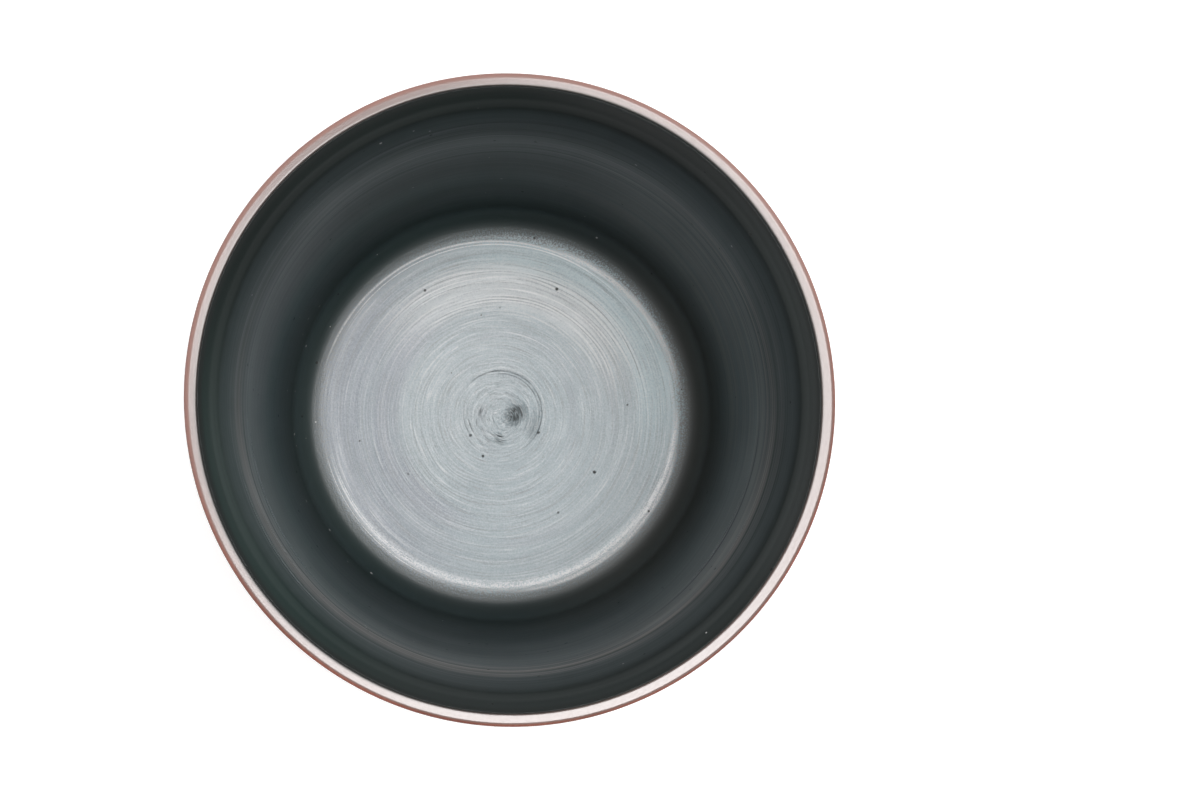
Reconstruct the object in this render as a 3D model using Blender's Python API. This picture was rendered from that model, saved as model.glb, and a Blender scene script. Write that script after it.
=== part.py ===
"""Yunomi teacup: a thrown red clay body, a foot ring luted under it and a dark slip lining.

Metres, +Z up. The origin is on the table, on the cup's axis. Every piece is turned about that axis
from an outline of (radius, height) points.
"""

import math

import bmesh
import bpy
from mathutils import Vector

# Overall sizes
RIM_DIAMETER = 0.0800  # widest part of the lip
CUP_HEIGHT = 0.0850  # table to the flat of the lip

# Foot ring
FOOT_DIAMETER = 0.0480  # outside of the ring at the table
FOOT_HEIGHT = 0.0055  # table to the seat under the base
FOOT_TREAD = 0.0045  # width of the ring at the table
FOOT_SPLAY = 0.0010  # how much wider each side of the ring is at its seat
FOOT_EDGE = 0.0007  # rounding of its two edges at the table

# Clay body
BASE_LEDGE = 0.0012  # flat of the base that shows outside the foot ring
BASE_THICKNESS = 0.0045
HIP_RADIUS = 0.0070  # rounding from the base up into the wall
HIP_LEAN = math.radians(10.5)  # how far the wall leans out as it leaves the hip
HIP_WALL = 0.0033
LIP_LEAN = math.radians(16.5)  # how far the wall leans out as it reaches the lip
LIP_WALL = 0.0017
LIP_OUTER_EDGE = 0.0006  # rounding of the lip outside
LIP_INNER_EDGE = 0.0002  # rounding of the lip inside

# Slip lining
SLIP_THICKNESS = 0.0005
SLIP_STOP = 0.0005  # bare clay between the top of the slip and the lip
FLOOR_SWEEP = 0.0120  # first, gentle rounding from the floor, on the face that shows
SWEEP_TURN = math.radians(16)  # how far the gentle rounding turns
FLOOR_FILLET = 0.0042  # tighter rounding from there into the wall

# Finger swirl in the middle of the floor
SWIRL_RADIUS = 0.0055
SWIRL_PITCH = 0.0026  # from one ridge to the next
SWIRL_DEPTH = 0.00018  # of a groove below the floor, and of a ridge above it
SWIRL_OFFSET = 0.0017  # from the cup's axis, along +X

# Fit and facets
SEAT_GAP = 0.0003  # left between the slip or the foot ring and the clay that carries it
TURN_STEPS = 64
WALL_STEPS = 11
ARC_STEPS = 6
EDGE_STEPS = 3
SWEEP_STEPS = 2
SWIRL_RINGS = 14

# Colours and finishes
RED_CLAY = (0.23, 0.075, 0.048)
DARK_SLIP = (0.034, 0.040, 0.041)
CLAY_ROUGHNESS = 0.42
SLIP_ROUGHNESS = 0.34

# Heights and radii that follow from the sizes above
SEAT_RADIUS = FOOT_DIAMETER / 2 + FOOT_SPLAY
BASE_RADIUS = SEAT_RADIUS + BASE_LEDGE
BASE_HEIGHT = FOOT_HEIGHT + SEAT_GAP
CLAY_FLOOR = BASE_HEIGHT + BASE_THICKNESS
LINING = SEAT_GAP + SLIP_THICKNESS
SWIRL_REACH = SWIRL_OFFSET + SWIRL_RADIUS
HIP_CENTRE = Vector((BASE_RADIUS, BASE_HEIGHT + HIP_RADIUS))
LIP_CENTRE = Vector((RIM_DIAMETER / 2 - LIP_OUTER_EDGE, CUP_HEIGHT - LIP_OUTER_EDGE))


def pointing(angle):
    """The direction at an angle from straight outwards, up being positive."""
    return Vector((math.cos(angle), math.sin(angle)))


def arc(centre, radius, start, end, steps):
    """Points on an arc about a centre, both ends included."""
    return [centre + radius * pointing(start + (end - start) * i / steps) for i in range(steps + 1)]


WALL_FOOT = HIP_CENTRE + HIP_RADIUS * pointing(-HIP_LEAN)
WALL_TOP = LIP_CENTRE + LIP_OUTER_EDGE * pointing(-LIP_LEAN)
WALL_RISE = WALL_TOP.y - WALL_FOOT.y


def wall_lean(t):
    """The wall's lean at t, from 0 at the hip to 1 at the lip. It is steepest about half way up."""
    hip, lip = math.tan(HIP_LEAN), math.tan(LIP_LEAN)
    spread = (WALL_TOP.x - WALL_FOOT.x) / WALL_RISE
    return math.atan(hip + (6 * spread - 4 * hip - 2 * lip) * t + 3 * (hip + lip - 2 * spread) * t * t)


def wall_point(t, depth):
    """A point of the wall at t, sunk by depth from its outer face, on one smooth curve from hip to lip."""
    hip, lip = math.tan(HIP_LEAN) * WALL_RISE, math.tan(LIP_LEAN) * WALL_RISE
    spread = WALL_TOP.x - WALL_FOOT.x
    radius = WALL_FOOT.x + hip * t + (3 * spread - 2 * hip - lip) * t * t + (hip + lip - 2 * spread) * t**3
    return Vector((radius, WALL_FOOT.y + WALL_RISE * t)) - depth * pointing(-wall_lean(t))


def inner_point(t, layer):
    """A point on the clay's inner face, or on a face of the slip that lies a layer further in."""
    return wall_point(t, HIP_WALL + (LIP_WALL - HIP_WALL) * t + layer)


def fillet_top():
    """Where on the wall the rounding from the floor ends, found by halving."""
    centre_height = CLAY_FLOOR + LINING + FLOOR_SWEEP - (FLOOR_SWEEP - FLOOR_FILLET) * math.cos(SWEEP_TURN)
    low, high = 0.0, 1.0
    while high - low > 1e-9:
        middle = (low + high) / 2
        if inner_point(middle, LINING + FLOOR_FILLET).y < centre_height:
            low = middle
        else:
            high = middle
    return high


def inside_outline(layer, top):
    """From the floor round the sweep and fillet and up the wall to top, on the face a layer in."""
    start = fillet_top()
    behind = LINING - layer
    turn = SWEEP_TURN - math.pi / 2
    fillet_centre = inner_point(start, LINING + FLOOR_FILLET)
    sweep_centre = fillet_centre - (FLOOR_SWEEP - FLOOR_FILLET) * pointing(turn)
    sweep = arc(sweep_centre, FLOOR_SWEEP + behind, -math.pi / 2, turn, SWEEP_STEPS)
    fillet = arc(fillet_centre, FLOOR_FILLET + behind, turn, -wall_lean(start), ARC_STEPS)
    wall = [inner_point(start + (top - start) * i / WALL_STEPS, layer) for i in range(1, WALL_STEPS + 1)]
    return sweep[:-1] + fillet + wall


def lip_outline():
    """Over the lip from inside to outside: a small rounding, a flat and a larger rounding."""
    up_wall = pointing(math.pi / 2 - LIP_LEAN)
    inner_end = inner_point(1.0, 0.0)
    arc_height = CUP_HEIGHT - LIP_INNER_EDGE * (1 - math.sin(LIP_LEAN))
    arc_start = inner_end + up_wall * (arc_height - inner_end.y) / up_wall.y
    centre = arc_start - LIP_INNER_EDGE * pointing(math.pi - LIP_LEAN)
    inner = arc(centre, LIP_INNER_EDGE, math.pi - LIP_LEAN, math.pi / 2, EDGE_STEPS)
    outer = arc(LIP_CENTRE, LIP_OUTER_EDGE, math.pi / 2, -LIP_LEAN, ARC_STEPS)
    return inner + outer


def body_outline():
    """Floor, inner wall, lip, outer wall, hip and base of the clay body."""
    outer = [wall_point(1 - i / WALL_STEPS, 0.0) for i in range(1, WALL_STEPS + 1)]
    hip = arc(HIP_CENTRE, HIP_RADIUS, -HIP_LEAN, -math.pi / 2, ARC_STEPS)[1:]
    floor_middle = Vector((0.0, CLAY_FLOOR))
    base_middle = Vector((0.0, BASE_HEIGHT))
    return [floor_middle, *inside_outline(0.0, 1.0), *lip_outline(), *outer, *hip, base_middle]


def slip_outline():
    """The slip's face that shows, its rounded top edge, and its back against the clay."""
    top = 1 - SLIP_STOP / WALL_RISE
    shown_floor = CLAY_FLOOR + LINING
    floor = [Vector((SWIRL_REACH * i / SWIRL_RINGS, shown_floor)) for i in range(SWIRL_RINGS + 1)]
    edge_centre = inner_point(top, SEAT_GAP + SLIP_THICKNESS / 2)
    lean = wall_lean(top)
    edge = arc(edge_centre, SLIP_THICKNESS / 2, math.pi - lean, -lean, ARC_STEPS)[1:-1]
    back = list(reversed(inside_outline(SEAT_GAP, top)))
    return [*floor, *inside_outline(LINING, top), *edge, *back, Vector((0.0, CLAY_FLOOR + SEAT_GAP))]


def foot_outline():
    """The foot ring: its outer side, rounded tread, inner side and flat seat, closed on itself."""
    outside = FOOT_DIAMETER / 2
    inside = outside - FOOT_TREAD
    outer_edge = arc(Vector((outside - FOOT_EDGE, FOOT_EDGE)), FOOT_EDGE, 0.0, -math.pi / 2, EDGE_STEPS)
    inner_edge = arc(Vector((inside + FOOT_EDGE, FOOT_EDGE)), FOOT_EDGE, -math.pi / 2, -math.pi, EDGE_STEPS)
    seat_outside = Vector((SEAT_RADIUS, FOOT_HEIGHT))
    seat_inside = Vector((inside - FOOT_SPLAY, FOOT_HEIGHT))
    return [seat_outside, *outer_edge, *inner_edge, seat_inside]


def turned(outline, closed):
    """A mesh turned about Z from an outline that runs down its outer side."""
    mesh = bmesh.new()
    verts = [mesh.verts.new((point.x, 0.0, point.y)) for point in outline]
    edges = [mesh.edges.new(pair) for pair in zip(verts, verts[1:])]
    if closed:
        edges.append(mesh.edges.new((verts[-1], verts[0])))
    bmesh.ops.spin(
        mesh,
        geom=verts + edges,
        cent=(0.0, 0.0, 0.0),
        axis=(0.0, 0.0, 1.0),
        angle=2 * math.pi,
        steps=TURN_STEPS,
        use_merge=True,
    )
    bmesh.ops.remove_doubles(mesh, verts=mesh.verts, dist=1e-6)
    bmesh.ops.recalc_face_normals(mesh, faces=mesh.faces)
    return mesh


def swirl_height(x, y):
    """The finger swirl's rise above the floor: a spiral ridge that dies away at its middle and its edge."""
    away_x = x - SWIRL_OFFSET
    distance = math.hypot(away_x, y)
    if distance > SWIRL_RADIUS:
        return 0.0
    turns = distance / SWIRL_PITCH - math.atan2(y, away_x) / (2 * math.pi)
    fade = min(1.0, distance / SWIRL_PITCH) * (1 - (distance / SWIRL_RADIUS) ** 2)
    return SWIRL_DEPTH * fade * math.cos(2 * math.pi * turns)


def press_swirl(mesh):
    """Presses the finger swirl into the slip's face that shows."""
    shown = CLAY_FLOOR + LINING - SLIP_THICKNESS / 2
    for vert in mesh.verts:
        on_floor = math.hypot(vert.co.x, vert.co.y) < SWIRL_REACH and vert.co.z > shown
        if on_floor:
            vert.co.z += swirl_height(vert.co.x, vert.co.y)


def fired(name, colour, roughness):
    """A plain fired-clay material."""
    material = bpy.data.materials.new(name)
    material.use_nodes = True
    shader = material.node_tree.nodes["Principled BSDF"]
    shader.inputs["Base Color"].default_value = (*colour, 1.0)
    shader.inputs["Roughness"].default_value = roughness
    shader.inputs["Metallic"].default_value = 0.0
    return material


def add_piece(name, mesh, material, axis):
    """One named piece of the cup, shaded smooth, on the cup's axis."""
    data = bpy.data.meshes.new(name)
    mesh.to_mesh(data)
    mesh.free()
    data.materials.append(material)
    data.shade_smooth()
    data.set_sharp_from_angle(angle=math.radians(35))
    piece = bpy.data.objects.new(name, data)
    bpy.context.scene.collection.objects.link(piece)
    piece.parent = axis


def main():
    for old in list(bpy.data.objects):
        bpy.data.objects.remove(old, do_unlink=True)
    axis = bpy.data.objects.new("cup_axis", None)
    bpy.context.scene.collection.objects.link(axis)

    body = turned(body_outline(), closed=False)
    add_piece("clay_body", body, fired("body_clay", RED_CLAY, CLAY_ROUGHNESS), axis)
    foot = turned(foot_outline(), closed=True)
    add_piece("foot_ring", foot, fired("foot_clay", RED_CLAY, CLAY_ROUGHNESS), axis)
    lining = turned(slip_outline(), closed=False)
    press_swirl(lining)
    add_piece("slip_lining", lining, fired("dark_slip", DARK_SLIP, SLIP_ROUGHNESS), axis)


main()
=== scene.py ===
import math

import bmesh
import bpy
import numpy as np
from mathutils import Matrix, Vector


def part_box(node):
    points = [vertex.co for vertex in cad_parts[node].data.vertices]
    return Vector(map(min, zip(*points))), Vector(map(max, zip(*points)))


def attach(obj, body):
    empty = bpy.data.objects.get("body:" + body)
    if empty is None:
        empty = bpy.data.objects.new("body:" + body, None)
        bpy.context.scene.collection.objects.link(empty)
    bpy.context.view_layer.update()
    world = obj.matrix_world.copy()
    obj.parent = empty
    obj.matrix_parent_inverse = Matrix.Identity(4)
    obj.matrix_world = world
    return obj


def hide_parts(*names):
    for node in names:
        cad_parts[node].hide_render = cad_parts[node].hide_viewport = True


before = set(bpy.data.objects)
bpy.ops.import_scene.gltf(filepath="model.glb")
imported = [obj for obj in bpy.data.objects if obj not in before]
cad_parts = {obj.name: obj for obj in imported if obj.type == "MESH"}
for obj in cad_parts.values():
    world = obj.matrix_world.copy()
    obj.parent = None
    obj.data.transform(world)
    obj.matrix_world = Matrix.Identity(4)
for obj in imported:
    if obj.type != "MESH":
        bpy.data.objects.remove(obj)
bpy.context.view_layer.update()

bl_info = {
    "name": "Yunomi teacup",
    "version": (1, 0, 0),
    "blender": (4, 5, 0),
    "location": "View3D > Sidebar > Teacup",
    "description": "Builds a thrown teacup of red clay with a dark slip lining, and the stage it stands on",
    "category": "Add Mesh",
}

# Heights and radii read from the CAD pieces
BODY_LOW, BODY_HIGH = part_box("clay_body")
FOOT_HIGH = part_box("foot_ring")[1]
SLIP_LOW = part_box("slip_lining")[0]
RIM_RADIUS = BODY_HIGH.x
LIP_HEIGHT = BODY_HIGH.z
BASE_HEIGHT = BODY_LOW.z
SEAT_RADIUS = FOOT_HIGH.x
SEAT_GAP = BASE_HEIGHT - FOOT_HIGH.z
CLAY_FLOOR = SLIP_LOW.z - SEAT_GAP

# The rest of the CAD outline
FOOT_TREAD = 0.0045  # width of the foot ring at the table
FOOT_SPLAY = 0.001  # how much wider each side of it is at its seat
FOOT_EDGE = 0.0007
BASE_LEDGE = 0.0012
HIP_RADIUS = 0.007
HIP_LEAN = math.radians(10.5)
HIP_WALL = 0.0033
LIP_LEAN = math.radians(16.5)
LIP_WALL = 0.0017
LIP_OUTER_EDGE = 0.0006
LIP_INNER_EDGE = 0.0003  # a little rounder than the CAD edge, as wiping leaves it
LINING = 0.0008  # from the clay's inner face to the slip's face that shows
FEATHERED = 0.93  # how much of that is gone at the lip
SLIP_BACK = 0.00002  # from the clay to the slip's hidden back
SEAT_DEPTH = 0.00005  # of the foot's hidden top in the clay
FLOOR_SWEEP = 0.012  # first, gentle rounding from the floor
SWEEP_TURN = math.radians(16)
FLOOR_FILLET = 0.0042  # tighter rounding from there into the wall
FLOOR_HEIGHT = CLAY_FLOOR + LINING
HIP_CENTRE = Vector((SEAT_RADIUS + BASE_LEDGE, BASE_HEIGHT + HIP_RADIUS))
LIP_CENTRE = Vector((RIM_RADIUS - LIP_OUTER_EDGE, LIP_HEIGHT - LIP_OUTER_EDGE))

# Marks that the finger and the rib left in the floor
SWIRL_CENTRE = (0.0011, 0.0)
SWIRL_RADIUS = 0.006
SWIRL_PITCH = 0.0011
SWIRL_ARC_CENTRE = (0.0003, 0.0005)
PIT_CENTRE = (0.0025, 0.0003)
PIT_RADIUS = 0.0015
RUB_CENTRE = (0.00056, 0.0003)  # the rib rounded and rubbed the floor's edge a little off the axis
RUB_RADIUS = 0.02495
RUB_OVAL = 0.00013  # and a little wider across than from far to near
HAZE_CENTRE = (0.0004, 0.00069)  # the near side's painted highlight, a broad bright crescent
HAZE_RADIUS = 0.0248

# Painted highlights: narrow bright streaks along the floor's edge, where the lamp's reflection runs along the
# rounding:
# centre, radius, half width, and the arc's middle and half span in degrees
EDGE_STREAKS = (
    ((0.00117, -0.00043), 0.025, 0.00072, 44, 30),
    ((-0.00046, -0.00008), 0.02507, 0.00024, 110, 50),
    ((-0.00028, -0.00005), 0.02462, 0.00012, 100, 46),
    (HAZE_CENTRE, 0.02487, 0.0002, 262, 66),
    (HAZE_CENTRE, 0.02562, 0.00052, 312, 34),
    (HAZE_CENTRE, 0.02472, 0.00026, 308, 34),
    (HAZE_CENTRE, 0.02505, 0.0007, 336, 22),
    (HAZE_CENTRE, 0.0246, 0.00013, 226, 30),
    (HAZE_CENTRE, 0.02545, 0.0001, 222, 26),
)

STREAK_FADE = (8, -16)  # degrees from an arc's end where it starts and where it is full

# Worn spots, a painted shade beside the swirl's ring, and dots in the swirl: centre, half length and half
# width, and turn in degrees
SWIRL_SPOTS = {
    "pit": (PIT_CENTRE, (0.0024, 0.0018), 50),
    "left": ((-0.0023, 0.0006), (0.0016, 0.0012), 70),
    "low": ((0.0001, -0.0031), (0.0014, 0.001), -50),
    "shade": ((0.005, -0.0014), (0.0026, 0.0015), 75),
    "first_dot": ((-0.0039, -0.0027), (0.00034, 0.00026), 40),
    "second_dot": ((0.0058, -0.0023), (0.00032, 0.00024), 20),
}

# Dark arcs of the swirl: radius, half width, side in degrees, where on that side they start and are full, and
# strength. A side is how nearly a point faces a direction, from -1 to 1.
SWIRL_ARCS = (
    (0.006, 0.00017, 40, -0.4, 0.5, 1.0),
    (0.0056, 0.00014, 40, 0.3, 0.8, 0.7),
    (0.0052, 0.00013, 188, 0.7, 0.95, 0.5),
    (0.0046, 0.00012, 188, 0.7, 0.95, 0.5),
)

# Parts of the floor: side in degrees, where on that side they start and are full, and the radii where they do
FLOOR_PARTS = {
    "far": ((150, -0.3, 0.8), (0.0155, 0.013)),
    "chalky": ((80, 0.2, 0.9), (0.0138, 0.0172)),
    "fresh": ((44, 0.35, 0.9), (0.0185, 0.0215)),
    "cool": ((188, 0.2, 0.8), (0.013, 0.0152)),
}

# Marks on the wall: side in degrees, where on that side they start and are full, height and half height.
# Worn and lit are painted light on the left of the wall, and under is painted shade just below the lip on the
# right.
WALL_MARKS = {
    "warm": ((-36, 0.72, 0.98), (0.062, 0.02)),
    "dragged": ((-28, 0.866, 0.97), (0.0574, 0.0009)),
    "wiped": ((22, 0.37, 0.77), (0.0836, 0.0022)),
    "worn": ((160, 0.3, 0.9), (0.0813, 0.0034)),
    "under": ((-30, 0.2, 0.9), (0.0811, 0.0017)),
    "lit": ((182, 0.6, 0.98), (0.019, 0.012)),
}

# Parts of the wall that dried duller or shinier: middle and half span in degrees, height and half height, and
# the change of roughness
WALL_PATCHES = (
    (172, 60, 0.045, 0.06, -0.055),
    (103, 50, 0.046, 0.026, 0.095),
    (245, 34, 0.042, 0.014, 0.08),
    (335, 34, 0.056, 0.016, -0.07),
    (332, 28, 0.042, 0.013, -0.06),
    (165, 36, 0.07, 0.009, 0.085),
    (2, 30, 0.07, 0.014, 0.065),
    (95, 42, 0.073, 0.008, 0.075),
    (316, 32, 0.0665, 0.004, -0.07),
    (98, 55, 0.0275, 0.011, 0.1),
    (262, 52, 0.027, 0.0105, 0.07),
    (210, 26, 0.065, 0.012, -0.035),
)

# The shift of the floor's rounding: the radii and the heights between which it fades
SHIFT_RADII = (0.01, 0.02)
SHIFT_HEIGHTS = (0.036, 0.014)

# The wall swells inwards a little below the lip, over a slight hollow, so it flares late
SWELL_HEIGHT = 0.0775
SWELL_REACH = 0.008
HOLLOW_HEIGHT = 0.05
HOLLOW_REACH = 0.011
FLARE_HEIGHT = 0.0045

# Throwing rings outside and inside, and the trimming marks on the foot
OUTER_PITCH = 0.0042
INNER_PITCH = 0.0026
TRIM_PITCH = 0.0016
TRIM_DEPTH = 0.00003

# The lip is wiped flat on one side, rounder on another and thicker on a third, in degrees
ROUND_LIP_SIDE = 105
CRISP_LIP_SIDE = 310
THICK_LIP_SIDE = 14
LIP_PUSH_DEPTH = 0.0032  # below the lip, where its thicker side starts
LIP_PUSH_FULL = 0.0004

# Facets
TURN_STEPS = 256
FLOOR_STEPS = 150
WALL_STEPS = 110
ARC_STEPS = 18
SWEEP_STEPS = 34
HIDDEN_STEPS = 24
HIDDEN_ARC_STEPS = 6
BASE_STEPS = 60
WELD_STEPS = 10
EDGE_STEPS = 8
TREAD_STEPS = 7
FOOT_SIDE_STEPS = 15
TABLE_STEPS = 96
EDGE_ROWS = 6  # at the slip's feathered edge, which stay plain
FLOOR_CROWDING = 1.25  # above 1, the floor's facets are finer in the middle

# Where the photograph shows the middle of the rim, and the rim's radius, in pixels
PHOTO_WIDTH = 1200
PHOTO_HEIGHT = 800
RIM_CENTRE_IN_PHOTO = (511.0, 398.9)
RIM_RADIUS_IN_PHOTO = 327.1

# The table, and the four panels round it
TABLE_RADIUS = 6.0
PANEL_REACH = 1.3
PANEL_HEIGHT = 0.75
PANEL_SIZE = (0.9, 0.7)
PANEL_TARGET = (0.0, 0.0, 0.04)


def colour_setting(name, description, default):
    """A colour that a user may change."""
    return bpy.props.FloatVectorProperty(
        name=name, description=description, subtype="COLOR", default=default, min=0.0, max=1.0)


def length_setting(name, description, default, highest, lowest=0.0):
    """A length that a user may change."""
    return bpy.props.FloatProperty(
        name=name, description=description, subtype="DISTANCE", unit="LENGTH", default=default, min=lowest,
        max=highest)


def glow_setting(name, description, default, highest):
    """A brightness that a user may change."""
    return bpy.props.FloatProperty(name=name, description=description, default=default, min=0.0, max=highest)


class ClayLook(bpy.types.PropertyGroup):
    """Colours and relief of the red clay."""

    main_colour: colour_setting("Clay", "Burnished clay of the wall", (0.255, 0.074, 0.046))
    deep_colour: colour_setting("Deep clay", "Darker clouds and specks in the clay", (0.15, 0.044, 0.028))
    pale_colour: colour_setting("Pale clay", "Rubbed lines and the foot's worn tread", (0.36, 0.17, 0.125))
    # The lip colour is wiped fine clay, greyer and partly a painted sheen.
    lip_clay_and_sheen_colour: colour_setting("Lip clay", "Fine clay left by wiping the lip, greyer and partly a painted sheen", (0.165, 0.118, 0.106))
    # The rim colour is a painted highlight on the rounding outside the lip.
    rim_highlight_colour: colour_setting("Rim highlight", "Painted highlight on the rounding outside the lip, strongest on the far side", (0.33, 0.2, 0.175))
    foot_colour: colour_setting("Foot clay", "Bare clay of the foot ring", (0.27, 0.105, 0.068))
    ring_depth: length_setting("Ring depth", "Depth of the throwing rings outside", 0.00004, 0.0005)
    oval: length_setting("Oval", "How far the thrown rim is out of round, each way", 0.00017, 0.001)
    lip_wave: length_setting("Lip wave", "How far the lip rises and falls", 0.00008, 0.001)
    lip_wipe: length_setting("Lip wipe", "How far the lip falls outwards where it is wiped", 0.00016, 0.0005)
    lip_crisp: length_setting("Lip edge", "Height of the rounding that is wiped flat", 0.000012, 0.0002)
    lip_thick: length_setting("Lip thickness", "How far the lip is pushed in on one side", 0.0002, 0.0005)
    weld: length_setting("Foot weld", "Radius of the joint between foot ring and base", 0.001, 0.0012, 0.0002)


class SlipLook(bpy.types.PropertyGroup):
    """Colours and relief of the dark slip lining."""

    wall_colour: colour_setting("Slip", "Dark slip on the wall", (0.0235, 0.033, 0.0335))
    green_colour: colour_setting("Green slip", "Thicker slip on the left of the wall", (0.008, 0.046, 0.039))
    edge_colour: colour_setting("Thin edge", "Thin brownish slip under the lip", (0.0275, 0.0315, 0.0305))
    # The brown colour is thinner slip, and also a painted pale-brown highlight in the near band.
    brown_colour: colour_setting("Brown streaks", "Thin slip that lets the clay show, and a painted pale-brown highlight in the near band", (0.15, 0.112, 0.092))
    # The floor colour is paler than the wall, partly a painted reflection of the lamp overhead.
    floor_colour: colour_setting("Floor slip", "Floor slip, paler than the wall, partly a painted reflection of the lamp overhead", (0.034, 0.092, 0.114))
    cool_colour: colour_setting("Cool floor slip", "Darker, bluer bands on the floor", (0.0, 0.031, 0.066))
    fresh_colour: colour_setting("Fresh floor slip", "Paler slip on the floor's right", (0.128, 0.23, 0.258))
    # Chalk also paints the highlights along the floor's edge and the light on the left of the wall.
    chalk_and_highlight_colour: colour_setting("Chalk", "Pale lines where the slip is rubbed most, and painted highlights and painted light", (0.45, 0.445, 0.445))
    # Ink also paints shade on the wall and beside the swirl.
    ink_and_shade_colour: colour_setting("Ink", "Dark lines, pits and pinholes, and painted shade on the wall and beside the swirl", (0.006, 0.007, 0.007))
    ring_depth: length_setting("Ring depth", "Depth of the throwing rings inside", 0.000012, 0.0005)
    swirl_depth: length_setting("Swirl depth", "Depth of the finger swirl in the floor", 0.000009, 0.0005)
    pit_depth: length_setting("Pit depth", "Depth of the pit in the middle of the swirl", 0.00006, 0.0005)
    swell: length_setting("Swell", "How far the wall swells inwards below the lip", 0.0006, 0.002)
    hollow: length_setting("Hollow", "How far the wall is hollowed outwards below the swell", 0.0006, 0.001)
    feather: length_setting("Feather", "Height below the lip where the slip thins out", 0.003, 0.02, 0.0005)


class StageLook(bpy.types.PropertyGroup):
    """Camera, lights and table. White paper has a brightness of 1."""

    camera_height: length_setting("Camera height", "Height of the camera above the lip", 0.45, 3.0, 0.1)
    camera_aside: bpy.props.FloatVectorProperty(
        name="Camera aside", description="How far the camera stands from the cup's axis", subtype="XYZ",
        unit="LENGTH", size=2, default=(-0.0115, -0.0152))
    softbox_place: bpy.props.FloatVectorProperty(
        name="Softbox place", description="Middle of the softbox, seen from the cup's foot", subtype="XYZ",
        unit="LENGTH", size=3, default=(0.134, 0.0852, 1.393))
    softbox_size: length_setting("Softbox size", "Side of the square softbox", 0.8, 3.0, 0.1)
    softbox_brightness: glow_setting("Softbox brightness", "Brightness of the softbox", 9.0, 50.0)
    far_panels: glow_setting("Far panels", "Brightness of the two panels beyond the table", 1.3, 50.0)
    near_panels: glow_setting("Near panels", "Brightness of the two panels before the table", 0.6, 50.0)
    fill: glow_setting("Fill", "Brightness of the room", 0.28, 5.0)
    table_colour: colour_setting("Table", "Pale table top", (0.86, 0.86, 0.86))
    table_lift: glow_setting("Table lift", "Glow that keeps the table white in the picture", 0.42, 1.0)


def spaced(start, end, steps):
    """Evenly spaced values from start to end, both included."""
    return np.linspace(start, end, steps + 1).tolist()


def pointing(angle):
    """The direction at an angle from straight outwards, up being positive."""
    return Vector((math.cos(angle), math.sin(angle)))


def arc(centre, radius, start, end, steps=ARC_STEPS):
    """Points on an arc about a centre, both ends included."""
    return [centre + radius * pointing(angle) for angle in spaced(start, end, steps)]


def between(start, end, steps):
    """Points on a straight line, both ends left out."""
    return [start.lerp(end, share) for share in spaced(0, 1, steps)[1:-1]]


WALL_FOOT = HIP_CENTRE + HIP_RADIUS * pointing(-HIP_LEAN)
WALL_TOP = LIP_CENTRE + LIP_OUTER_EDGE * pointing(-LIP_LEAN)
WALL_RISE = WALL_TOP.y - WALL_FOOT.y


def wall_lean(t):
    """The wall's lean at t, from 0 at the hip to 1 at the lip."""
    hip, lip = math.tan(HIP_LEAN), math.tan(LIP_LEAN)
    spread = (WALL_TOP.x - WALL_FOOT.x) / WALL_RISE
    return math.atan(hip + (6 * spread - 4 * hip - 2 * lip) * t + 3 * (hip + lip - 2 * spread) * t * t)


def wall_point(t, depth):
    """A point of the wall at t, sunk by depth from its outer face."""
    hip, lip = math.tan(HIP_LEAN) * WALL_RISE, math.tan(LIP_LEAN) * WALL_RISE
    spread = WALL_TOP.x - WALL_FOOT.x
    radius = WALL_FOOT.x + hip * t + (3 * spread - 2 * hip - lip) * t * t + (hip + lip - 2 * spread) * t**3
    return Vector((radius, WALL_FOOT.y + WALL_RISE * t)) - depth * pointing(-wall_lean(t))


def inner_point(t, layer):
    """A point on the clay's inner face, or on a face of the slip that lies a layer further in."""
    return wall_point(t, HIP_WALL + (LIP_WALL - HIP_WALL) * t + layer)


def fillet_top():
    """Where on the wall the rounding from the floor ends, found by halving."""
    centre_height = FLOOR_HEIGHT + FLOOR_SWEEP - (FLOOR_SWEEP - FLOOR_FILLET) * math.cos(SWEEP_TURN)
    low, high = 0.0, 1.0
    while high - low > 1e-9:
        middle = (low + high) / 2
        if inner_point(middle, LINING + FLOOR_FILLET).y < centre_height:
            low = middle
        else:
            high = middle
    return high


SWEEP_END = SWEEP_TURN - math.pi / 2
FILLET_TOP = fillet_top()
FILLET_CENTRE = inner_point(FILLET_TOP, LINING + FLOOR_FILLET)
LIP_INSIDE = inner_point(1.0, 0.0).x
SWEEP_CENTRE = FILLET_CENTRE - (FLOOR_SWEEP - FLOOR_FILLET) * pointing(SWEEP_END)


def inside_outline(layer, wall_steps, arc_steps, layer_at=None):
    """From the floor round the sweep and fillet and up the wall to the lip, on the face a layer in."""
    behind = LINING - layer
    sweep = arc(SWEEP_CENTRE, FLOOR_SWEEP + behind, -math.pi / 2, SWEEP_END, arc_steps)
    fillet = arc(FILLET_CENTRE, FLOOR_FILLET + behind, SWEEP_END, -wall_lean(FILLET_TOP), arc_steps)
    heights = [*spaced(FILLET_TOP, 1.0, wall_steps)[1:-1], 0.9997, 1.0]
    wall = [inner_point(t, layer_at(t) if layer_at else layer) for t in heights]
    return sweep[:-1] + fillet + wall


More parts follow.
